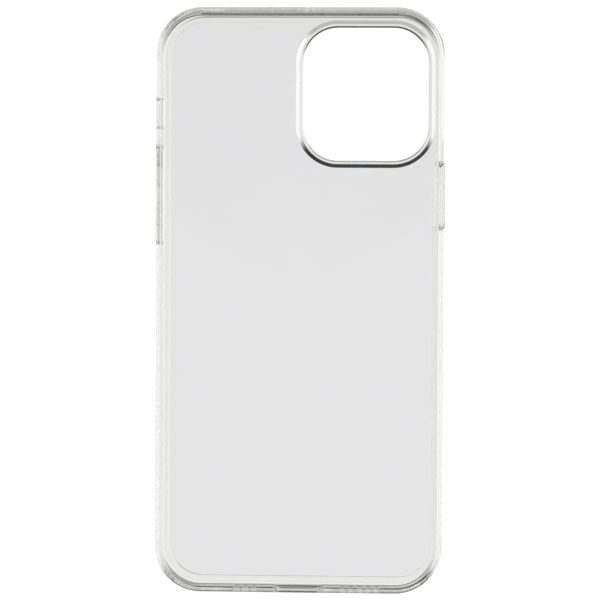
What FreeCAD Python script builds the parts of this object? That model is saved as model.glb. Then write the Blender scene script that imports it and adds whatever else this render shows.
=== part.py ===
"""A slim clear case for a 6.7-inch phone of 160.8 x 78.1 x 7.4 mm.

A hard clear back panel sits in a soft clear bumper frame, moulded round its edge. A soft
guard ring lines the camera opening. The side buttons are caps carried by thin webs in the
frame's walls, and they press the phone's own buttons.

+Z runs from the back towards the open screen side, +Y towards the top of the phone, and +X
to the right of someone who looks into the open side. The origin is the middle of the case,
level with the foot of the camera guard ring. Millimetres.
"""

import FreeCAD, Part
import math
import os

import Sketcher
from FreeCAD import Rotation, Vector

DIMENSIONS = {
    # the phone that the case fits
    "phone_width": 78.1,
    "phone_length": 160.8,
    "phone_depth": 7.4,
    "phone_corner": 11.7,
    # bumper frame
    "side_wall": 1.2,
    "end_wall": 1.5,
    "frame_corner": 13.0,
    "rim_rise": 0.8,
    "side_rim": 3.3,
    "end_rim": 4.0,
    "back_round": 2.4,
    "front_round": 0.7,
    "floor_blend": 0.9,
    "screen_gap": 0.05,
    "lip_rise": 1.05,
    "lip_overhang": 1.1,
    "lip_round": 0.4,
    # back panel, with the tongue that locks it into the frame
    "panel_recess": 0.3,
    "panel_thick": 1.2,
    "panel_corner": 9.7,
    "tongue_reach": 0.5,
    "tongue_thick": 0.4,
    # camera opening and its guard ring
    "camera_x": 18.0,
    "camera_y": 57.85,
    "camera_width": 35.2,
    "camera_length": 37.3,
    "camera_corner": 9.8,
    "ring_width": 2.05,
    "ring_outer_round": 1.05,
    "ring_inner_round": 0.55,
    "ring_front_round": 0.3,
    # silencer switch: scoop in the left wall, and the slot through it
    "scoop_top": 57.0,
    "scoop_bottom": 47.2,
    "scoop_depth": 0.8,
    "scoop_flare": 1.2,
    "land_bottom": 44.4,
    "land_depth": 0.4,
    "slot_middle": 52.1,
    "slot_length": 8.8,
    "slot_height": 4.6,
    "slot_corner": 1.2,
    # side buttons and the webs that carry them
    "buttons_middle": 29.4,
    "volume_pitch": 15.7,
    "volume_length": 11.3,
    "power_length": 18.3,
    "cap_height": 3.4,
    "cap_corner": 1.5,
    "cap_proud": 0.45,
    "cap_inside": 0.75,
    "cap_round": 0.35,
    "cap_gap": 0.06,
    "web_border": 0.6,
    "web_height": 4.6,
    "web_corner": 1.9,
    "web_thick": 0.5,
    # charging port, and the microphone and speaker holes beside it
    "port_width": 13.8,
    "port_height": 4.8,
    "port_corner": 1.9,
    "port_bevel": 0.3,
    "hole_diameter": 1.5,
    "hole_pitch": 2.4,
    "hole_first": 12.5,
}
MICROPHONE_HOLES = 3
SPEAKER_HOLES = 5
OUTSIDE = 2.0  # how far outside the wall the scoop's outline closes
NEAR = 0.01  # an edge this close to an outline lies on it
LEAST_CUT = 0.01  # a cut that takes away less than this volume has missed
QUARTER = math.pi / 2
CORNERS = ((1, -1), (1, 1), (-1, 1), (-1, -1))


class Length:
    """A number of millimetres together with the expression that objects are bound to."""

    def __init__(self, number, text):
        self.number = number
        self.text = text

    def __add__(self, other):
        return Length(self.number + other.number, f"({self.text} + {other.text})")

    def __sub__(self, other):
        return Length(self.number - other.number, f"({self.text} - {other.text})")

    def __mul__(self, factor):
        return Length(self.number * factor, f"({self.text} * {factor})")

    def __neg__(self):
        return self * -1


class Sizes:
    """The spreadsheet of driving dimensions, read as attributes: sizes.side_wall."""

    def __init__(self, document, dimensions):
        sheet = document.addObject("Spreadsheet::Sheet", "Sizes")
        for row, (name, number) in enumerate(dimensions.items(), start=1):
            sheet.set(f"A{row}", name)
            sheet.set(f"B{row}", str(number))
            sheet.setAlias(f"B{row}", name)
            setattr(self, name, Length(number, f"<<Sizes>>.{name}"))
        document.recompute()


class Outline:
    """A rounded rectangle's sizes, and its middle where that isn't the sketch's origin."""

    def __init__(self, width, length, corner, middle=None):
        self.width = width
        self.length = length
        self.corner = corner
        self.middle = middle

    def grown(self, by):
        return Outline(self.width + by * 2, self.length + by * 2, self.corner + by, self.middle)


doc = FreeCAD.newDocument("phone_case")
sizes = Sizes(doc, DIMENSIONS)

# Levels along Z
panel_back = sizes.rim_rise + sizes.panel_recess
floor = panel_back + sizes.panel_thick
tongue_back = panel_back + (sizes.panel_thick - sizes.tongue_thick) * 0.5
lip_back = floor + sizes.phone_depth + sizes.screen_gap
lip_front = lip_back + sizes.lip_rise
phone_middle = floor + sizes.phone_depth * 0.5

# Outlines in plan
case = Outline(
    sizes.phone_width + sizes.side_wall * 2, sizes.phone_length + sizes.end_wall * 2, sizes.frame_corner
)
pocket = Outline(sizes.phone_width, sizes.phone_length, sizes.phone_corner)
screen = pocket.grown(-sizes.lip_overhang)
panel = Outline(case.width - sizes.side_rim * 2, case.length - sizes.end_rim * 2, sizes.panel_corner)
no_offset = Length(0.0, "0")
camera = Outline(
    sizes.camera_width, sizes.camera_length, sizes.camera_corner, (sizes.camera_x, sizes.camera_y)
)
ring = camera.grown(sizes.ring_width)
left_wall = case.width * -0.5
right_wall = case.width * 0.5


def new_body(name):
    body = doc.addObject("PartDesign::Body", name)
    body.Label = name
    return body


def new_sketch(body, name, plane="XY_Plane", level=None):
    """A sketch on an origin plane of the body, lifted along the plane's normal to level."""
    sketch = body.newObject("Sketcher::SketchObject", name)
    support = next(feature for feature in body.Origin.OriginFeatures if feature.Role == plane)
    sketch.AttachmentSupport = [(support, "")]
    sketch.MapMode = "FlatFace"
    if level is not None:
        sketch.setExpression("AttachmentOffset.Base.z", level.text)
    return sketch


def constrain(sketch, length, *constraint):
    """Adds a dimension that follows a length's expression."""
    index = sketch.addConstraint(Sketcher.Constraint(*constraint, length.number))
    sketch.setExpression(f"Constraints[{index}]", length.text)


def draw_outline(sketch, outline):
    """Draws a rounded rectangle: each side, then the corner that it runs into."""
    across, along = (length.number for length in outline.middle) if outline.middle else (0.0, 0.0)
    radius = outline.corner.number
    reach_x = outline.width.number / 2 - radius
    reach_y = outline.length.number / 2 - radius
    centres = [Vector(across + x * reach_x, along + y * reach_y, 0) for x, y in CORNERS]
    first = sketch.GeometryCount
    for index, centre in enumerate(centres):
        start = QUARTER * (index - 1)
        offset = Vector(math.cos(start), math.sin(start), 0) * radius
        sketch.addGeometry(Part.LineSegment(centres[index - 1] + offset, centre + offset))
        circle = Part.Circle(centre, Vector(0, 0, 1), radius)
        sketch.addGeometry(Part.ArcOfCircle(circle, start, start + QUARTER))
    for index in range(4):
        side = first + 2 * index
        corner = side + 1
        next_side = first + (2 * index + 2) % 8
        sketch.addConstraint(Sketcher.Constraint("Tangent", side, 2, corner, 1))
        sketch.addConstraint(Sketcher.Constraint("Tangent", corner, 2, next_side, 1))
        sketch.addConstraint(Sketcher.Constraint("Vertical" if index % 2 else "Horizontal", side))
        if index:
            sketch.addConstraint(Sketcher.Constraint("Equal", first + 1, corner))
    if outline.middle:
        middle = sketch.addGeometry(Part.Point(Vector(across, along, 0)), True)
        constrain(sketch, outline.middle[0], "DistanceX", -1, 1, middle, 1)
        constrain(sketch, outline.middle[1], "DistanceY", -1, 1, middle, 1)
    else:
        middle = -1
    sketch.addConstraint(Sketcher.Constraint("Symmetric", first + 3, 3, first + 7, 3, middle, 1))
    constrain(sketch, outline.corner, "Radius", first + 1)
    constrain(sketch, outline.width, "DistanceX", first + 6, 1, first + 2, 1)
    constrain(sketch, outline.length, "DistanceY", first, 1, first + 4, 1)


def draw_polygon(sketch, corners):
    """Draws a closed polygon through corners, which are pairs of lengths."""
    points = [Vector(x.number, y.number, 0) for x, y in corners]
    for index, point in enumerate(points):
        sketch.addGeometry(Part.LineSegment(points[index - 1], point))
    for index, (x, y) in enumerate(corners):
        following = (index + 1) % len(corners)
        sketch.addConstraint(Sketcher.Constraint("Coincident", index, 2, following, 1))
        constrain(sketch, x, "DistanceX", -1, 1, index, 2)
        constrain(sketch, y, "DistanceY", -1, 1, index, 2)


def draw_hole(sketch, diameter, x, y):
    """A round hole."""
    circle = Part.Circle(Vector(x.number, y.number, 0), Vector(0, 0, 1), diameter.number / 2)
    hole = sketch.addGeometry(circle)
    constrain(sketch, diameter, "Diameter", hole)
    constrain(sketch, x, "DistanceX", -1, 1, hole, 3)
    constrain(sketch, y, "DistanceY", -1, 1, hole, 3)


def add_pad(body, name, sketch, length):
    """Raises a sketch along its normal."""
    pad = body.newObject("PartDesign::Pad", name)
    pad.Profile = sketch
    pad.setExpression("Length", length.text)
    doc.recompute()
    return pad


def add_pocket(body, name, sketch, length=None, forward=True):
    """Cuts a sketch along its normal (or against it), to a length or through all."""
    volume = body.Shape.Volume
    cut = body.newObject("PartDesign::Pocket", name)
    cut.Profile = sketch
    cut.Reversed = forward
    if length is None:
        cut.Type = "ThroughAll"
    else:
        cut.setExpression("Length", length.text)
    doc.recompute()
    if body.Shape.Volume > volume - LEAST_CUT:
        raise RuntimeError(f"{name} cuts nothing away")
    return cut


def edges_on(feature, outline):
    """Names the feature's edges whose middles lie on a shape."""
    names = []
    for number, edge in enumerate(feature.Shape.Edges, start=1):
        middle = edge.valueAt((edge.FirstParameter + edge.LastParameter) / 2)
        if Part.Vertex(middle).distToShape(outline)[0] < NEAR:
            names.append(f"Edge{number}")
    if not names:
        raise RuntimeError(f"no edge of {feature.Name} lies on that outline")
    return names


def raised(sketch, length):
    """The sketch's outline, moved along the sketch's normal."""
    normal = sketch.Placement.Rotation.multVec(Vector(0, 0, 1))
    return sketch.Shape.translated(normal * length.number)


def add_round(body, name, base, edges, radius, kind="PartDesign::Fillet", size_name="Radius"):
    edge_round = body.newObject(kind, name)
    edge_round.Base = (base, edges)
    edge_round.setExpression(size_name, radius.text)
    doc.recompute()
    return edge_round


def layer_pocket(body, name, outline, level, length):
    """Cuts an outline in plan, upwards from a level."""
    sketch = new_sketch(body, f"{name}_outline", level=level)
    draw_outline(sketch, outline)
    return sketch, add_pocket(body, name, sketch, length)


def make_back_panel():
    """Hard clear sheet, with a tongue round its edge and a corner cut away for the camera."""
    body = new_body("back_panel")
    sheet = new_sketch(body, "sheet_outline", level=panel_back)
    draw_outline(sheet, panel)
    add_pad(body, "sheet", sheet, sizes.panel_thick)
    tongue = new_sketch(body, "tongue_outline", level=tongue_back)
    draw_outline(tongue, panel.grown(sizes.tongue_reach))
    add_pad(body, "tongue", tongue, sizes.tongue_thick)
    layer_pocket(body, "ring_seat", ring, panel_back, sizes.panel_thick)
    layer_pocket(body, "ring_groove", ring.grown(sizes.tongue_reach), tongue_back, sizes.tongue_thick)
    return body


def make_camera_guard_ring():
    """Soft ring round the camera opening, standing proud of the back to keep lenses off a table."""
    body = new_body("camera_guard_ring")
    foot = new_sketch(body, "foot_outline")
    draw_outline(foot, ring)
    block = add_pad(body, "block", foot, floor)
    outside = add_round(body, "outer_round", block, edges_on(block, foot.Shape), sizes.ring_outer_round)
    tongue = new_sketch(body, "tongue_outline", level=tongue_back)
    draw_outline(tongue, ring.grown(sizes.tongue_reach))
    add_pad(body, "tongue", tongue, sizes.tongue_thick)
    opening = new_sketch(body, "opening_outline")
    draw_outline(opening, camera)
    hole = add_pocket(body, "opening", opening)
    inner = edges_on(hole, opening.Shape)
    back_round = add_round(body, "inner_round", hole, inner, sizes.ring_inner_round)
    front = edges_on(back_round, raised(opening, floor))
    add_round(body, "front_round", back_round, front, sizes.ring_front_round)
    return body


def make_frame_shell(body):
    """The frame's ring: an outer block, hollowed for the phone, the panel and the screen."""
    foot = new_sketch(body, "case_outline", level=sizes.rim_rise)
    draw_outline(foot, case)
    height = lip_front - sizes.rim_rise
    block = add_pad(body, "block", foot, height)
    back = add_round(body, "back_round", block, edges_on(block, foot.Shape), sizes.back_round)
    front = edges_on(back, raised(foot, height))
    add_round(body, "front_round", back, front, sizes.front_round)
    layer_pocket(body, "panel_opening", panel, sizes.rim_rise, floor - sizes.rim_rise)
    space, phone_space = layer_pocket(body, "phone_space", pocket, floor, lip_back - floor)
    blend = edges_on(phone_space, space.Shape)
    add_round(body, "floor_blend", phone_space, blend, sizes.floor_blend)
    opening, screen_opening = layer_pocket(body, "screen_opening", screen, lip_back, sizes.lip_rise)
    lip = edges_on(screen_opening, opening.Shape)
    lip += edges_on(screen_opening, raised(opening, sizes.lip_rise))
    add_round(body, "lip_round", screen_opening, lip, sizes.lip_round)
    reach = sizes.tongue_reach
    layer_pocket(body, "panel_groove", panel.grown(reach), tongue_back, sizes.tongue_thick)
    layer_pocket(body, "ring_seat", ring, sizes.rim_rise, floor - sizes.rim_rise)
    layer_pocket(body, "ring_groove", ring.grown(reach), tongue_back, sizes.tongue_thick)


def cut_silencer_scoop(body):
    """Scoops the left wall back so that a fingertip reaches the silencer switch."""
    outside = left_wall - Length(OUTSIDE, str(OUTSIDE))
    deep = left_wall + sizes.scoop_depth
    shallow = left_wall + sizes.land_depth
    flare_top = sizes.scoop_top + sizes.scoop_flare
    flare_bottom = sizes.scoop_bottom - sizes.scoop_flare * 0.5
    scoop = new_sketch(body, "scoop_outline")
    corners = [
        (outside, flare_top),
        (left_wall, flare_top),
        (deep, sizes.scoop_top),
        (deep, sizes.scoop_bottom),
        (shallow, flare_bottom),
        (shallow, sizes.land_bottom),
        (outside, sizes.land_bottom),
    ]
    draw_polygon(scoop, corners)
    add_pocket(body, "scoop", scoop)
    slot = new_sketch(body, "slot_outline", plane="YZ_Plane")
    middle = (sizes.slot_middle, phone_middle)
    draw_outline(slot, Outline(sizes.slot_length, sizes.slot_height, sizes.slot_corner, middle))
    add_pocket(body, "slot", slot, forward=False)


def cut_button_window(body, name, length, forward):
    """Opens a side wall where a web is moulded in."""
    window = new_sketch(body, f"{name}_outline", plane="YZ_Plane")
    middle = (sizes.buttons_middle, phone_middle)
    draw_outline(window, Outline(length, sizes.web_height, sizes.web_corner, middle))
    add_pocket(body, name, window, forward=forward)


def cut_bottom_openings(body):
    """Cuts the charging port, three microphone holes and five speaker holes."""
    port = new_sketch(body, "port_outline", plane="XZ_Plane")
    middle = (no_offset, phone_middle)
    draw_outline(port, Outline(sizes.port_width, sizes.port_height, sizes.port_corner, middle))
    port_cut = add_pocket(body, "port", port)
    mouth = edges_on(port_cut, raised(port, case.length * 0.5))
    add_round(body, "port_bevel", port_cut, mouth, sizes.port_bevel, "PartDesign::Chamfer", "Size")
    for name, count, side in (("microphone", MICROPHONE_HOLES, -1), ("speaker", SPEAKER_HOLES, 1)):
        holes = new_sketch(body, f"{name}_outline", plane="XZ_Plane")
        for index in range(count):
            across = (sizes.hole_first + sizes.hole_pitch * index) * side
            draw_hole(holes, sizes.hole_diameter, across, phone_middle)
        add_pocket(body, f"{name}_holes", holes)


def make_bumper_frame():
    """Soft frame: the walls and the lip that hold the phone, with every opening in the edge."""
    body = new_body("bumper_frame")
    make_frame_shell(body)
    cut_silencer_scoop(body)
    cut_button_window(body, "volume_window", volume_window, forward=False)
    cut_button_window(body, "power_window", power_window, forward=True)
    cut_bottom_openings(body)
    return body


def place_on_wall(body, wall, along, rotation):
    """Moves a piece, made with its outer face at X = 0 and facing -X, to a side wall."""
    body.Placement.Rotation = rotation
    body.setExpression("Placement.Base.x", wall.text)
    body.setExpression("Placement.Base.y", along.text)
    body.setExpression("Placement.Base.z", phone_middle.text)


def make_web(name, length, cap_length, cap_places, wall, rotation):
    """Thin wall section that fills a window, with an opening for each cap."""
    body = new_body(name)
    plate = new_sketch(body, "plate_outline", plane="YZ_Plane")
    draw_outline(plate, Outline(length, sizes.web_height, sizes.web_corner))
    add_pad(body, "plate", plate, sizes.web_thick)
    openings = new_sketch(body, "cap_openings_outline", plane="YZ_Plane")
    for place in cap_places:
        cap = Outline(cap_length, sizes.cap_height, sizes.cap_corner, (place, no_offset))
        draw_outline(openings, cap.grown(sizes.cap_gap))
    add_pocket(body, "cap_openings", openings)
    place_on_wall(body, wall, sizes.buttons_middle, rotation)
    return body


def make_cap(name, length, wall, along, rotation):
    """Button cap: rounded where the finger presses, and reaching in towards the phone's button."""
    body = new_body(name)
    face = new_sketch(body, "face_outline", plane="YZ_Plane", level=-sizes.cap_proud)
    draw_outline(face, Outline(length, sizes.cap_height, sizes.cap_corner))
    block = add_pad(body, "block", face, sizes.cap_proud + sizes.cap_inside)
    add_round(body, "face_round", block, edges_on(block, face.Shape), sizes.cap_round)
    place_on_wall(body, wall, along, rotation)
    return body


volume_window = sizes.volume_pitch + sizes.volume_length + sizes.web_border * 2
power_window = sizes.power_length + sizes.web_border * 2
half_pitch = sizes.volume_pitch * 0.5
facing_left = Rotation()
facing_right = Rotation(Vector(0, 0, 1), 180)

bodies = [
    make_back_panel(),
    make_bumper_frame(),
    make_camera_guard_ring(),
    make_web(
        "volume_web", volume_window, sizes.volume_length, (half_pitch, -half_pitch), left_wall, facing_left
    ),
    make_cap(
        "volume_up_button", sizes.volume_length, left_wall, sizes.buttons_middle + half_pitch, facing_left
    ),
    make_cap(
        "volume_down_button", sizes.volume_length, left_wall, sizes.buttons_middle - half_pitch, facing_left
    ),
    make_web(
        "power_web", power_window, sizes.power_length, (no_offset,), right_wall, facing_right
    ),
    make_cap("power_button", sizes.power_length, right_wall, sizes.buttons_middle, facing_right),
]
doc.recompute()

for item in doc.Objects:
    if "Invalid" in item.State or "Error" in item.State:
        raise RuntimeError(f"{item.Label} failed: {item.State}")
for body in bodies:
    if body.Shape.isNull() or not body.Shape.isValid() or len(body.Shape.Solids) != 1:
        raise RuntimeError(f"{body.Label} is not one valid solid")

os.makedirs("parts", exist_ok=True)
for body in bodies:
    body.Shape.exportStep(f"parts/{body.Label}.step")
    print(f"{body.Label:20s} {body.Shape.Volume:9.2f} mm3")
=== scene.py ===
"""A slim clear case for a 6.7-inch phone, lying on its back with its open side up."""

import math

import bmesh
import bpy
from mathutils import Matrix, Vector


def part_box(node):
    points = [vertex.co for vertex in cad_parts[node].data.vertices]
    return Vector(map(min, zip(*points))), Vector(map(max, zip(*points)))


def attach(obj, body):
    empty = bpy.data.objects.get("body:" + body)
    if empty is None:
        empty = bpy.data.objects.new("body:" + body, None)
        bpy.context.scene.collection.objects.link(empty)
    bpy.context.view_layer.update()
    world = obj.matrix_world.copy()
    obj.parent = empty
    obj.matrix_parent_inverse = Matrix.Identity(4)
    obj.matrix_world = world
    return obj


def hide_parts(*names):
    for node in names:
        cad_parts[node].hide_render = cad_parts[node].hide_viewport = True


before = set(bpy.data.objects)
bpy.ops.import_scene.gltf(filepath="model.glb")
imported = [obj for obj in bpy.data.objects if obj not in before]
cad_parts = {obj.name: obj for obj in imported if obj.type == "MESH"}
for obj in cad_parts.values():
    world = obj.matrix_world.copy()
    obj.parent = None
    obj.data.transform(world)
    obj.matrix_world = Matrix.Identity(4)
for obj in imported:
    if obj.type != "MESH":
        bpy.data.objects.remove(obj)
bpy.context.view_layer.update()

# ---------------------------------------------------------------------------------------------
# Bumper frame. Clear flexible polyurethane, injection moulded in one shot round the back panel.
# A closed ring: a rounded outer wall, a flange that grips the panel, a pocket for the phone's
# edge and a lip that snaps over the screen side.

MM = 0.001
CORNER_SIGNS = ((1, -1), (1, 1), (-1, 1), (-1, -1))
SEAM = 0.006 * MM  # the hairline between pieces that are moulded against each other

frame_low, frame_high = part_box("bumper_frame")
panel_low, panel_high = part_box("back_panel")
rim_z = frame_low.z
front_z = frame_high.z
floor_z = panel_high.z
PHONE_THICK = 7.4 * MM
phone_middle_z = floor_z + PHONE_THICK / 2
CASE_CORNER = 13.0 * MM
POCKET_CORNER = 11.7 * MM
PANEL_WIDTH = 73.9 * MM
PANEL_LENGTH = 155.8 * MM
PANEL_CORNER = 9.7 * MM
SIDE_WALL = 1.2 * MM
END_WALL = 1.5 * MM
LIP_OVERHANG = 1.1 * MM
END_LIP_OVERHANG = 0.95 * MM
LIP_THICK = 1.05 * MM
BACK_ROUND = 2.4 * MM
FRONT_ROUND = 0.7 * MM
LIP_ROUND = 0.4 * MM
FLOOR_BLEND = 0.5 * MM
FLOOR_SWEEP = 3.5 * MM  # the shallow round that carries the blend on across the floor
FLOOR_TURN = -72  # where the blend hands over to the sweep, in degrees
UNDERCUT_BLEND = 0.25 * MM
RIM_EDGE = 0.04 * MM
CORNER_STEPS = 32
JOIN_DISTANCE = 0.0001 * MM  # how close the two ends of a closed skin meet


class Outline:
    """A rectangle with rounded corners, in plan. inset() draws it in by the same amount all round."""

    def __init__(self, half_x, half_y, corner, middle=(0.0, 0.0)):
        self.half_x, self.half_y, self.corner, self.middle = half_x, half_y, corner, middle

    def inset(self, by):
        return Outline(self.half_x - by, self.half_y - by, self.corner - by, self.middle)

    def corner_centre(self, side, end, z):
        x, y = self.middle
        reach_x, reach_y = self.half_x - self.corner, self.half_y - self.corner
        return Vector((x + side * reach_x, y + end * reach_y, z))


def add_loop(mesh, outline, z, steps):
    """Adds the outline's face at a height: a rectangle with its corners rounded by a bevel."""
    x, y = outline.middle
    corners = [
        mesh.verts.new((x + side * outline.half_x, y + end * outline.half_y, z))
        for side, end in CORNER_SIGNS
    ]
    mesh.faces.new(corners)
    bmesh.ops.bevel(
        mesh, geom=corners, affect="VERTICES", offset=outline.corner, segments=steps, profile=0.5,
        material=-1,
    )
    mesh.faces.ensure_lookup_table()
    return mesh.faces[-1]


def draw_out(mesh, edges, before, after):
    """Extrudes a loop of edges to the next station, and sizes its corners about their centres."""
    (outline, z), (next_outline, next_z) = before, after
    fresh = bmesh.ops.extrude_edge_only(mesh, edges=edges)["geom"]
    verts = {part for part in fresh if isinstance(part, bmesh.types.BMVert)}
    edges = [
        part for part in fresh
        if isinstance(part, bmesh.types.BMEdge) and verts.issuperset(part.verts)
    ]
    x, y = outline.middle
    moves = []
    for side, end in CORNER_SIGNS:
        corner = [vert for vert in verts if (vert.co.x - x) * side > 0 and (vert.co.y - y) * end > 0]
        leave = Matrix.Translation(-outline.corner_centre(side, end, z))
        arrive = Matrix.Translation(next_outline.corner_centre(side, end, next_z))
        moves.append((corner, arrive @ Matrix.Scale(next_outline.corner / outline.corner, 4) @ leave))
    for corner, move in moves:
        bmesh.ops.transform(mesh, matrix=move, verts=corner)
    return edges


def loft(mesh, stations, steps, closed):
    """Skins a row of (outline, height) stations: closed returns to the first, open caps both ends."""
    first = add_loop(mesh, *stations[0], steps)
    edges = list(first.edges)
    if closed:
        bmesh.ops.delete(mesh, geom=[first], context="FACES_ONLY")
        stations = stations + stations[:1]
    for before, after in zip(stations, stations[1:]):
        edges = draw_out(mesh, edges, before, after)
    if closed:
        bmesh.ops.remove_doubles(mesh, verts=mesh.verts[:], dist=JOIN_DISTANCE)
    else:
        bmesh.ops.contextual_create(mesh, geom=edges)
    bmesh.ops.recalc_face_normals(mesh, faces=mesh.faces[:])


def arc_stations(outline, radius, inset, z, start, end, steps):
    """Stations along a round: its centre lies inset from the outline at height z. Angles in degrees,
    0 towards the outside and 90 up."""
    stations = []
    for step in range(steps + 1):
        angle = math.radians(start + (end - start) * step / steps)
        across = inset - radius * math.cos(angle)
        stations.append((outline.inset(across), z + radius * math.sin(angle)))
    return stations


case_outline = Outline(frame_high.x, frame_high.y, CASE_CORNER)
pocket_outline = Outline(frame_high.x - SIDE_WALL, frame_high.y - END_WALL, POCKET_CORNER)
screen_outline = pocket_outline.inset(LIP_OVERHANG)
screen_outline.half_y += LIP_OVERHANG - END_LIP_OVERHANG
panel_outline = Outline(PANEL_WIDTH / 2, PANEL_LENGTH / 2, PANEL_CORNER)
lip_back_z = front_z - LIP_THICK
sweep_inset = FLOOR_BLEND + (FLOOR_SWEEP - FLOOR_BLEND) * math.cos(math.radians(FLOOR_TURN))
blend_z = floor_z + FLOOR_SWEEP + (FLOOR_SWEEP - FLOOR_BLEND) * math.sin(math.radians(FLOOR_TURN))

frame_mesh = bmesh.new()
frame_stations = (
    arc_stations(case_outline, FRONT_ROUND, FRONT_ROUND, front_z - FRONT_ROUND, 90, 0, 8)
    + arc_stations(case_outline, BACK_ROUND, BACK_ROUND, rim_z + BACK_ROUND, 0, -90, 16)
    + arc_stations(panel_outline, RIM_EDGE, -RIM_EDGE, rim_z + RIM_EDGE, -90, -180, 4)
    + [(panel_outline, floor_z)]
    + arc_stations(pocket_outline, FLOOR_SWEEP, sweep_inset, floor_z + FLOOR_SWEEP, -90, FLOOR_TURN, 6)
    + arc_stations(pocket_outline, FLOOR_BLEND, FLOOR_BLEND, blend_z, FLOOR_TURN, 0, 9)
    + arc_stations(pocket_outline, UNDERCUT_BLEND, UNDERCUT_BLEND, lip_back_z - UNDERCUT_BLEND, 0, 90, 5)
    + arc_stations(screen_outline, LIP_ROUND, -LIP_ROUND, lip_back_z + LIP_ROUND, -90, -180, 6)
    + arc_stations(screen_outline, LIP_ROUND, -LIP_ROUND, front_z - LIP_ROUND, -180, -270, 6)
)
loft(frame_mesh, frame_stations, CORNER_STEPS, closed=True)

# Cutters for everything that opens through the frame
CAMERA_WIDTH = 35.2 * MM
CAMERA_LENGTH = 37.3 * MM
CAMERA_CORNER = 9.8 * MM
CAMERA_MIDDLE = (18.0 * MM, 57.85 * MM)
RING_WIDTH = 2.05 * MM
RING_CUT = (-2 * MM, 6 * MM)  # from under the case to above its floor
SLOT_HEIGHT = 4.6 * MM
SLOT_LENGTH = 8.8 * MM
SLOT_CORNER = 1.2 * MM
SLOT_Y = 52.1 * MM
PORT_WIDTH = 13.8 * MM
PORT_HEIGHT = 4.8 * MM
PORT_CORNER = 1.9 * MM
BUTTONS_Y = 29.4 * MM
VOLUME_PITCH = 15.7 * MM
VOLUME_LENGTH = 11.3 * MM
POWER_LENGTH = 18.3 * MM
CAP_HEIGHT = 3.4 * MM
CAP_CORNER = 1.5 * MM
WEB_BORDER = 0.6 * MM
WEB_HEIGHT = 4.6 * MM
WEB_CORNER = 1.9 * MM
MICROPHONE_HOLES = 3
SPEAKER_HOLES = 5
HOLE_RADIUS = 0.75 * MM
HOLE_FIRST = 12.5 * MM
HOLE_PITCH = 2.4 * MM
HOLE_STEPS = 32
WALL_CUT = 3 * MM  # how far a cutter reaches to each side of a wall's outer face

# A wall's pieces are drawn flat, with their depth along Z, and turned into place. Those of a side
# wall have their length along Y.
quarter_turn = math.radians(90)
LEFT_WALL = Matrix.Translation((-frame_high.x, 0, phone_middle_z)) @ Matrix.Rotation(-quarter_turn, 4, "Y")
RIGHT_WALL = Matrix.Translation((frame_high.x, 0, phone_middle_z)) @ Matrix.Rotation(quarter_turn, 4, "Y")
BOTTOM_WALL = Matrix.Translation((0, frame_low.y, phone_middle_z)) @ Matrix.Rotation(quarter_turn, 4, "X")

camera_outline = Outline(CAMERA_WIDTH / 2, CAMERA_LENGTH / 2, CAMERA_CORNER, CAMERA_MIDDLE)
ring_outline = camera_outline.inset(-RING_WIDTH)
slot_outline = Outline(SLOT_HEIGHT / 2, SLOT_LENGTH / 2, SLOT_CORNER, (0.0, SLOT_Y))
port_outline = Outline(PORT_WIDTH / 2, PORT_HEIGHT / 2, PORT_CORNER)


def add_block(mesh, outline, low, high, place=Matrix(), steps=10):
    """Adds a prism of the outline from low to high, then turns it into place."""
    block = bmesh.new()
    loft(block, [(outline, low), (outline, high)], steps, closed=False)
    block.transform(place)
    flat = bpy.data.meshes.new("block")
    block.to_mesh(flat)
    block.free()
    mesh.from_mesh(flat)
    bpy.data.meshes.remove(flat)


def window(length, middle=0.0):
    """A web's opening, lengthways along Y."""
    return Outline(WEB_HEIGHT / 2, length / 2 + WEB_BORDER, WEB_CORNER, (0.0, middle))


cutter_mesh = bmesh.new()
add_block(cutter_mesh, ring_outline.inset(-SEAM), *RING_CUT, steps=CORNER_STEPS)
add_block(cutter_mesh, slot_outline, -WALL_CUT, WALL_CUT, LEFT_WALL)
volume_span = VOLUME_PITCH + VOLUME_LENGTH
volume_window = window(volume_span, BUTTONS_Y).inset(-SEAM)
add_block(cutter_mesh, volume_window, -WALL_CUT, WALL_CUT, LEFT_WALL)
power_window = window(POWER_LENGTH, BUTTONS_Y).inset(-SEAM)
add_block(cutter_mesh, power_window, -WALL_CUT, WALL_CUT, RIGHT_WALL)
add_block(cutter_mesh, port_outline, -WALL_CUT, WALL_CUT, BOTTOM_WALL)
hole_places = [-(HOLE_FIRST + HOLE_PITCH * index) for index in range(MICROPHONE_HOLES)]
hole_places += [HOLE_FIRST + HOLE_PITCH * index for index in range(SPEAKER_HOLES)]
for place in hole_places:
    bmesh.ops.create_cone(
        cutter_mesh,
        cap_ends=True,
        segments=HOLE_STEPS,
        radius1=HOLE_RADIUS,
        radius2=HOLE_RADIUS,
        depth=2 * WALL_CUT,
        matrix=BOTTOM_WALL @ Matrix.Translation((place, 0, 0)),
    )

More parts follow.
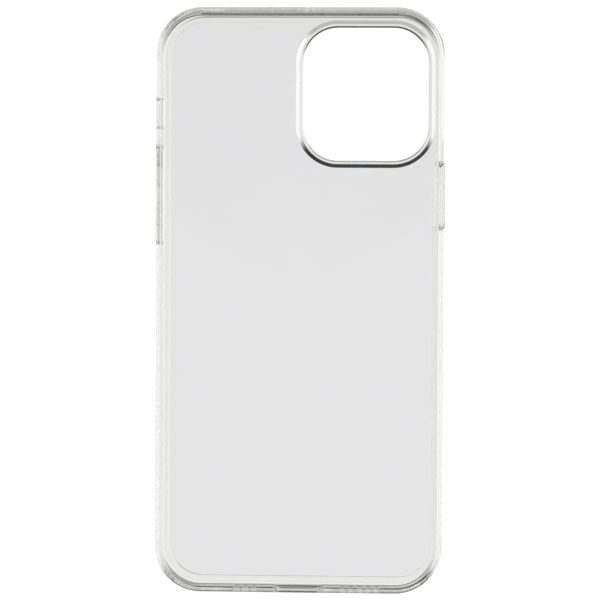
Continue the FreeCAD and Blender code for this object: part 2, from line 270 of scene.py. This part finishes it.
# The cutter for the scoop beside the silencer slot: a shallow trapezoid with a step below it, as
# tall as the wall. It overlaps the slot's cutter, and the cut leaves the wall whole here.
SCOOP_TOP = 57.0 * MM
SCOOP_BOTTOM = 47.2 * MM
LAND_BOTTOM = 44.4 * MM
SCOOP_FLARE = 1.2 * MM
SCOOP_DEPTH = 0.8 * MM
LAND_DEPTH = 0.4 * MM
SCOOP_OUTSIDE = -2.0 * MM
SCOOP_START_Z = -1 * MM
SCOOP_HEIGHT = 14 * MM
scoop_edge = [
    (SCOOP_OUTSIDE, SCOOP_TOP + SCOOP_FLARE),
    (0.0, SCOOP_TOP + SCOOP_FLARE),
    (SCOOP_DEPTH, SCOOP_TOP),
    (SCOOP_DEPTH, SCOOP_BOTTOM),
    (LAND_DEPTH, SCOOP_BOTTOM - SCOOP_FLARE / 2),
    (LAND_DEPTH, LAND_BOTTOM),
    (SCOOP_OUTSIDE, LAND_BOTTOM),
]
scoop_corners = [cutter_mesh.verts.new((frame_low.x + depth, y, SCOOP_START_Z)) for depth, y in scoop_edge]
scoop_face = cutter_mesh.faces.new(scoop_corners)
raised = bmesh.ops.extrude_face_region(cutter_mesh, geom=[scoop_face], use_keep_orig=True)["geom"]
raised_verts = [part for part in raised if isinstance(part, bmesh.types.BMVert)]
bmesh.ops.translate(cutter_mesh, vec=(0, 0, SCOOP_HEIGHT), verts=raised_verts)
bmesh.ops.recalc_face_normals(cutter_mesh, faces=cutter_mesh.faces[:])


def cut_away(mesh, cutter):
    """Takes the cutter's volume out of the mesh, and empties both."""
    objects = []
    for part in (mesh, cutter):
        data = bpy.data.meshes.new("cutting")
        part.to_mesh(data)
        part.free()
        objects.append(bpy.data.objects.new("cutting", data))
        bpy.context.scene.collection.objects.link(objects[-1])
    boolean = objects[0].modifiers.new("cut", "BOOLEAN")
    boolean.operation = "DIFFERENCE"
    boolean.solver = "EXACT"
    boolean.object = objects[1]
    evaluated = objects[0].evaluated_get(bpy.context.evaluated_depsgraph_get())
    result = bmesh.new()
    result.from_mesh(evaluated.to_mesh())
    for item in objects:
        bpy.data.meshes.remove(item.data)
    return result


SHARP_ANGLE = math.radians(40)


def soften(mesh, test, radius, segments=3):
    """Rounds the sharp edges that a test picks by their middle point."""
    edges = []
    for edge in mesh.edges:
        if len(edge.link_faces) == 2 and edge.calc_face_angle() > SHARP_ANGLE:
            if test((edge.verts[0].co + edge.verts[1].co) / 2):
                edges.append(edge)
    bmesh.ops.bevel(
        mesh, geom=edges, affect="EDGES", offset=radius, segments=segments, profile=0.5, material=-1,
        clamp_overlap=True,
    )


MERGE_DISTANCE = 0.001 * MM

frame_mesh = cut_away(frame_mesh, cutter_mesh)
bmesh.ops.remove_doubles(frame_mesh, verts=frame_mesh.verts[:], dist=MERGE_DISTANCE)

CUT_EDGE = 0.15 * MM
PORT_EDGE = 0.6 * MM
ON_FACE = 0.01 * MM  # how near an edge lies to the face that its opening is cut through
PORT_MARGIN = 0.3 * MM
SLOT_MARGIN = 0.2 * MM
HOLES_START = 9 * MM
HOLES_END = 25 * MM
HOLES_HALF_HEIGHT = 1 * MM


def on_port_mouth(point):
    """The charging port's edge in the bottom wall's outer face."""
    across = abs(point.x) < PORT_WIDTH / 2 + PORT_MARGIN
    up = abs(point.z - phone_middle_z) < PORT_HEIGHT / 2 + PORT_MARGIN
    return across and up and abs(point.y - frame_low.y) < ON_FACE


def on_hole_mouth(point):
    """The sound holes' edges in the bottom wall's outer face."""
    across = HOLES_START < abs(point.x) < HOLES_END
    up = abs(point.z - phone_middle_z) < HOLES_HALF_HEIGHT
    return across and up and abs(point.y - frame_low.y) < ON_FACE


def on_slot_mouth(point):
    """The silencer slot's edge in the scoop's face. It picks nothing while the wall is whole."""
    along = abs(point.y - SLOT_Y) < SLOT_LENGTH / 2 + SLOT_MARGIN
    up = abs(point.z - phone_middle_z) < SLOT_HEIGHT / 2 + SLOT_MARGIN
    return along and up and abs(point.x - frame_low.x - SCOOP_DEPTH) < ON_FACE


soften(frame_mesh, on_port_mouth, PORT_EDGE)
soften(frame_mesh, on_hole_mouth, CUT_EDGE)
soften(frame_mesh, on_slot_mouth, CUT_EDGE)


FLOW_DETAIL = 2.0
HAZE_SCALE = 180.0
HAZE_DETAIL = 5.0
HAZE_SPREAD = (0.35, 0.75)


def clear_plastic(name, colour, ior, roughness, flow_scale, flow_depth):
    """Clear moulded plastic: long ripples from its flow in the mould, and a faint handling haze."""
    material = bpy.data.materials.new(name)
    material.use_nodes = True
    nodes, links = material.node_tree.nodes, material.node_tree.links
    shader = nodes["Principled BSDF"]
    shader.inputs["Base Color"].default_value = (*colour, 1.0)
    shader.inputs["IOR"].default_value = ior
    shader.inputs["Transmission Weight"].default_value = 1.0
    place = nodes.new("ShaderNodeTexCoord")
    flow = nodes.new("ShaderNodeTexNoise")
    flow.inputs["Scale"].default_value = flow_scale
    flow.inputs["Detail"].default_value = FLOW_DETAIL
    ripple = nodes.new("ShaderNodeBump")
    ripple.inputs["Strength"].default_value = 1.0
    ripple.inputs["Distance"].default_value = flow_depth
    haze = nodes.new("ShaderNodeTexNoise")
    haze.inputs["Scale"].default_value = HAZE_SCALE
    haze.inputs["Detail"].default_value = HAZE_DETAIL
    spread = nodes.new("ShaderNodeMapRange")
    spread.inputs["From Min"].default_value = HAZE_SPREAD[0]
    spread.inputs["From Max"].default_value = HAZE_SPREAD[1]
    spread.inputs["To Min"].default_value = roughness[0]
    spread.inputs["To Max"].default_value = roughness[1]
    links.new(place.outputs["Object"], flow.inputs["Vector"])
    links.new(flow.outputs["Fac"], ripple.inputs["Height"])
    links.new(ripple.outputs["Normal"], shader.inputs["Normal"])
    links.new(place.outputs["Object"], haze.inputs["Vector"])
    links.new(haze.outputs["Fac"], spread.inputs["Value"])
    links.new(spread.outputs["Result"], shader.inputs["Roughness"])
    return material


soft_plastic = clear_plastic(
    "soft_clear_plastic",
    colour=(0.932, 0.936, 0.922),
    ior=1.50,
    roughness=(0.01, 0.05),
    flow_scale=90.0,
    flow_depth=0.02 * MM,
)
SMOOTH_ANGLE = math.radians(35)


def finish_piece(mesh, name, material, body, *nodes):
    """Turns a mesh into a shaded piece that rides on a body and stands for CAD nodes."""
    data = bpy.data.meshes.new(name)
    mesh.to_mesh(data)
    mesh.free()
    data.shade_smooth()
    data.set_sharp_from_angle(angle=SMOOTH_ANGLE)
    data.materials.append(material)
    piece = bpy.data.objects.new(name, data)
    bpy.context.scene.collection.objects.link(piece)
    normals = piece.modifiers.new("even_normals", "WEIGHTED_NORMAL")
    normals.keep_sharp = True
    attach(piece, body)
    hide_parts(*nodes)
    return piece


frame_piece = finish_piece(frame_mesh, "bumper_frame_moulding", soft_plastic, "shell", "bumper_frame")

# ---------------------------------------------------------------------------------------------
# Back panel. Hard clear polycarbonate sheet, 1.2 mm, polished on both faces. The frame is
# moulded round its edge, and its top corner is cut away for the camera ring.

PANEL_EDGE = 0.02 * MM

panel_mesh = bmesh.new()
panel_edge = panel_outline.inset(SEAM)
panel_stations = (
    arc_stations(panel_edge, PANEL_EDGE, PANEL_EDGE, panel_low.z + PANEL_EDGE, -90, 0, 3)
    + arc_stations(panel_edge, PANEL_EDGE, PANEL_EDGE, panel_high.z - PANEL_EDGE, 0, 90, 3)
)
loft(panel_mesh, panel_stations, CORNER_STEPS, closed=False)
seat_mesh = bmesh.new()
add_block(seat_mesh, ring_outline.inset(-SEAM), *RING_CUT, steps=CORNER_STEPS)
panel_mesh = cut_away(panel_mesh, seat_mesh)
bmesh.ops.remove_doubles(panel_mesh, verts=panel_mesh.verts[:], dist=MERGE_DISTANCE)

hard_plastic = clear_plastic(
    "hard_clear_plastic",
    colour=(0.951, 0.951, 0.963),
    ior=1.58,
    roughness=(0.0, 0.03),
    flow_scale=25.0,
    flow_depth=0.01 * MM,
)
panel_piece = finish_piece(panel_mesh, "back_panel_sheet", hard_plastic, "shell", "back_panel")

# ---------------------------------------------------------------------------------------------
# Camera guard ring. The frame's soft plastic, moulded onto the panel's cut corner. Its foot
# stands proud of the back, so that the lenses stay off a table.

RING_SLOPE = -58  # the way the outer side faces, in degrees
RING_TOE_ROUND = 0.15 * MM
RING_TOE_Z = 0.7 * MM
RING_FOOT_ROUND = 0.5 * MM
RING_FOOT_INSET = 1.15 * MM
RING_INNER_SLOPE = -129  # the way the inner side faces
RING_INNER_TOE_ROUND = 0.12 * MM
RING_INNER_TOE_Z = 0.428 * MM
RING_INNER_FOOT_ROUND = 0.2 * MM
RING_INNER_FOOT_INSET = -0.53 * MM
RING_FRONT_ROUND = 0.3 * MM

ring_mesh = bmesh.new()
ring_low, ring_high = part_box("camera_guard_ring")
toe_z = ring_low.z + RING_TOE_Z
foot_z = ring_low.z + RING_FOOT_ROUND
inner_foot_z = ring_low.z + RING_INNER_FOOT_ROUND
inner_toe_z = ring_low.z + RING_INNER_TOE_Z
inner_front_z = ring_high.z - RING_FRONT_ROUND
ring_stations = (
    [(ring_outline, ring_high.z)]
    + arc_stations(ring_outline, RING_TOE_ROUND, RING_TOE_ROUND, toe_z, 0, RING_SLOPE, 6)
    + arc_stations(ring_outline, RING_FOOT_ROUND, RING_FOOT_INSET, foot_z, RING_SLOPE, -90, 6)
    + arc_stations(
        camera_outline, RING_INNER_FOOT_ROUND, RING_INNER_FOOT_INSET, inner_foot_z, -90, RING_INNER_SLOPE, 5
    )
    + arc_stations(
        camera_outline, RING_INNER_TOE_ROUND, -RING_INNER_TOE_ROUND, inner_toe_z, RING_INNER_SLOPE, -180, 5
    )
    + arc_stations(camera_outline, RING_FRONT_ROUND, -RING_FRONT_ROUND, inner_front_z, 180, 90, 6)
)
loft(ring_mesh, ring_stations, CORNER_STEPS, closed=True)
ring_piece = finish_piece(
    ring_mesh, "camera_guard_ring_moulding", soft_plastic, "shell", "camera_guard_ring"
)

# ---------------------------------------------------------------------------------------------
# Button webs. The thin skin of the frame's side walls that carries the caps: one web holds both
# volume caps, and one holds the power cap. Moulded in one with the frame.

WEB_THICK = 0.5 * MM
CAP_GAP = 0.06 * MM
CAP_CUT = 1 * MM  # how far a cap's opening is cut to each side of the web's outer face


def make_web(name, length, cap_length, cap_places, place, node):
    """A plate in a side wall's window, drawn with its outer face at depth 0."""
    web = bmesh.new()
    add_block(web, window(length, BUTTONS_Y), -WEB_THICK, 0.0, place)
    openings = bmesh.new()
    for middle in cap_places:
        opening = Outline(CAP_HEIGHT / 2, cap_length / 2, CAP_CORNER, (0.0, middle)).inset(-CAP_GAP)
        add_block(openings, opening, -CAP_CUT, CAP_CUT, place)
    web = cut_away(web, openings)
    piece = finish_piece(web, name, soft_plastic, "shell", node)


volume_places = (BUTTONS_Y + VOLUME_PITCH / 2, BUTTONS_Y - VOLUME_PITCH / 2)
make_web("volume_web_skin", volume_span, VOLUME_LENGTH, volume_places, LEFT_WALL, "volume_web")
make_web("power_web_skin", POWER_LENGTH, POWER_LENGTH, (BUTTONS_Y,), RIGHT_WALL, "power_web")

# ---------------------------------------------------------------------------------------------
# Button caps. Thick pads of the same soft plastic that stand proud of the wall. A press slides
# one in by a third of a millimetre, against the phone's own button.

CAP_PROUD = 0.45 * MM
CAP_INSIDE = 0.75 * MM
CAP_ROUND = 0.35 * MM
CAP_CORNER_STEPS = 16


def make_cap(name, length, middle, place, body, node):
    """A cap with a rounded face, drawn with the wall's outer face at depth 0."""
    face = Outline(CAP_HEIGHT / 2, length / 2, CAP_CORNER, (0.0, middle))
    cap = bmesh.new()
    stations = [(face, -CAP_INSIDE)]
    stations += arc_stations(face, CAP_ROUND, CAP_ROUND, CAP_PROUD - CAP_ROUND, 0, 90, 8)
    loft(cap, stations, CAP_CORNER_STEPS, closed=False)
    cap.transform(place)
    bmesh.ops.recalc_face_normals(cap, faces=cap.faces[:])
    piece = finish_piece(cap, name, soft_plastic, body, node)


up_place, down_place = volume_places
make_cap("volume_up_cap", VOLUME_LENGTH, up_place, LEFT_WALL, "volume_up", "volume_up_button")
make_cap("volume_down_cap", VOLUME_LENGTH, down_place, LEFT_WALL, "volume_down", "volume_down_button")
make_cap("power_cap", POWER_LENGTH, BUTTONS_Y, RIGHT_WALL, "power", "power_button")

# ---------------------------------------------------------------------------------------------
# Studio. A plain white floor, which only the camera sees. Light that has come through the case
# comes from the room: white straight below it, a dark band past that towards its two ends, bright
# at the sides and high up, and dark straight overhead.

FLOOR_SIZE = 3.0
FLOOR_GAP = 0.05 * MM
LIGHT_BOUNCES = 96  # clear plastic carries light along inside itself

# Brightness by the angle from straight below, in degrees, towards the sides and towards each end
SIDES = (
    (0, 0.89), (6.5, 0.9), (9, 1.0), (18, 1.1), (28, 0.6), (45, 0.8), (60, 0.9), (85, 0.95),
    (92, 1.05), (100, 1.5), (112, 1.5), (125, 1.3), (158, 1.3), (164, 0.1),
)
TOP_END = (
    (0, 0.89), (5.5, 0.85), (7.5, 0.05), (15, 0.0), (42, 0.0), (58, 0.8), (80, 0.85),
    (90, 0.5), (120, 0.8), (158, 1.0), (164, 0.1),
)
BOTTOM_END = (
    (0, 0.89), (7, 0.9), (10, 0.62), (18, 0.48), (26, 0.48), (34, 0.18), (42, 0.12), (56, 0.75),
    (80, 0.85), (90, 0.6), (120, 0.8), (158, 1.0), (164, 0.1),
)
END_BLEND = (0.35, 0.7)  # where the sides' brightness hands over to an end's, as a share of Y
BACKDROP = (0.95, 0.95, 0.95, 1)
FLOOR_COLOUR = (0.5, 0.5, 0.5, 1)
FLOOR_ROUGHNESS = 0.6
FLOOR_GLOW = 0.85

floor_mesh = bmesh.new()
bmesh.ops.create_grid(floor_mesh, x_segments=1, y_segments=1, size=FLOOR_SIZE)
bmesh.ops.translate(floor_mesh, vec=(0, 0, -FLOOR_GAP), verts=floor_mesh.verts[:])
floor_data = bpy.data.meshes.new("studio_floor")
floor_mesh.to_mesh(floor_data)
floor_mesh.free()
floor = bpy.data.objects.new("studio_floor", floor_data)
bpy.context.scene.collection.objects.link(floor)
floor.visible_transmission = False
floor.visible_glossy = False
floor_material = bpy.data.materials.new("white_floor")
floor_material.use_nodes = True
floor_shader = floor_material.node_tree.nodes["Principled BSDF"]
floor_shader.inputs["Base Color"].default_value = FLOOR_COLOUR
floor_shader.inputs["Roughness"].default_value = FLOOR_ROUGHNESS
floor_shader.inputs["Emission Color"].default_value = (1, 1, 1, 1)
floor_shader.inputs["Emission Strength"].default_value = FLOOR_GLOW
floor_data.materials.append(floor_material)

VIEW_YAW = math.radians(4.4)
VIEW_PITCH = math.radians(1.5)
away = Vector((math.sin(VIEW_YAW), math.sin(VIEW_PITCH), 1)).normalized()

world = bpy.data.worlds.new("studio_room")
bpy.context.scene.world = world
world.use_nodes = True
nodes, links = world.node_tree.nodes, world.node_tree.links
look = nodes.new("ShaderNodeTexCoord").outputs["Generated"]


def work(kind, operation, *sources):
    """A maths node: its sources are other nodes' outputs, or values."""
    node = nodes.new(kind)
    node.operation = operation
    for socket, source in zip(node.inputs, sources):
        if isinstance(source, bpy.types.NodeSocket):
            links.new(source, socket)
        else:
            socket.default_value = source
    return node.outputs["Value"] if operation == "DOT_PRODUCT" else node.outputs[0]


def ladder(source, rungs):
    """Brightness by angle: a ramp through the rungs."""
    node = nodes.new("ShaderNodeValToRGB")
    links.new(source, node.inputs["Fac"])
    stops = node.color_ramp.elements
    while len(stops) < len(rungs):
        stops.new(0.5)
    for stop, (angle, brightness) in zip(stops, rungs):
        stop.position = angle / 180
        stop.color = (brightness, brightness, brightness, 1)
    return node.outputs["Color"]


def blend_light(factor, first, second):
    """Mixes two brightnesses, each a node's output or a colour."""
    mix = nodes.new("ShaderNodeMix")
    mix.data_type = "RGBA"
    links.new(factor, mix.inputs["Factor"])
    colours = [socket for socket in mix.inputs if socket.type == "RGBA"]
    for socket, source in zip(colours, (first, second)):
        if isinstance(source, bpy.types.NodeSocket):
            links.new(source, socket)
        else:
            socket.default_value = source
    return next(socket for socket in mix.outputs if socket.type == "RGBA")


def ease(source, start, end):
    """0 at start and 1 at end, smoothly."""
    ramp = nodes.new("ShaderNodeMapRange")
    ramp.interpolation_type = "SMOOTHSTEP"
    ramp.inputs["From Min"].default_value = start
    ramp.inputs["From Max"].default_value = end
    links.new(source, ramp.inputs["Value"])
    return ramp.outputs["Result"]


vector_maths, number_maths = "ShaderNodeVectorMath", "ShaderNodeMath"
down_share = work(vector_maths, "DOT_PRODUCT", look, -away)
from_below = work(number_maths, "DIVIDE", work(number_maths, "ARCCOSINE", down_share), math.pi)
flat_look = work(vector_maths, "SUBTRACT", look, -away)
flat_look = work(vector_maths, "NORMALIZE", work(vector_maths, "MULTIPLY", flat_look, (1, 1, 0)))
end_share = work(vector_maths, "DOT_PRODUCT", flat_look, (0, 1, 0))
room = ladder(from_below, SIDES)
blend_start, blend_end = END_BLEND
room = blend_light(ease(end_share, blend_start, blend_end), room, ladder(from_below, TOP_END))
room = blend_light(ease(end_share, -blend_start, -blend_end), room, ladder(from_below, BOTTOM_END))
seen_first = nodes.new("ShaderNodeLightPath").outputs["Is Camera Ray"]
links.new(blend_light(seen_first, room, BACKDROP), nodes["Background"].inputs["Color"])
bpy.context.scene.view_settings.view_transform = "Standard"
bpy.context.scene.cycles.max_bounces = LIGHT_BOUNCES
bpy.context.scene.cycles.glossy_bounces = LIGHT_BOUNCES
bpy.context.scene.cycles.transmission_bounces = LIGHT_BOUNCES

VIEW_DISTANCE = 1.2
VIEW_ROLL = math.radians(0.28)
VIEW_WIDTH = 168.5 * MM
SENSOR = 36.0
CLIP_START = 0.01
AIM_Z = 5 * MM

middle = Vector((0, 0, AIM_Z))
camera_data = bpy.data.cameras.new("camera")
camera_data.sensor_width = SENSOR
camera_data.lens = SENSOR * VIEW_DISTANCE / VIEW_WIDTH
camera_data.clip_start = CLIP_START
camera = bpy.data.objects.new("camera", camera_data)
bpy.context.scene.collection.objects.link(camera)
forward = -away
right = forward.cross(Vector((0, 1, 0))).normalized()
up = right.cross(forward)
turn = Matrix((right, up, away)).transposed().to_4x4()
stand = Matrix.Translation(middle + away * VIEW_DISTANCE)
camera.matrix_world = stand @ turn @ Matrix.Rotation(VIEW_ROLL, 4, "Z")
bpy.context.scene.camera = camera
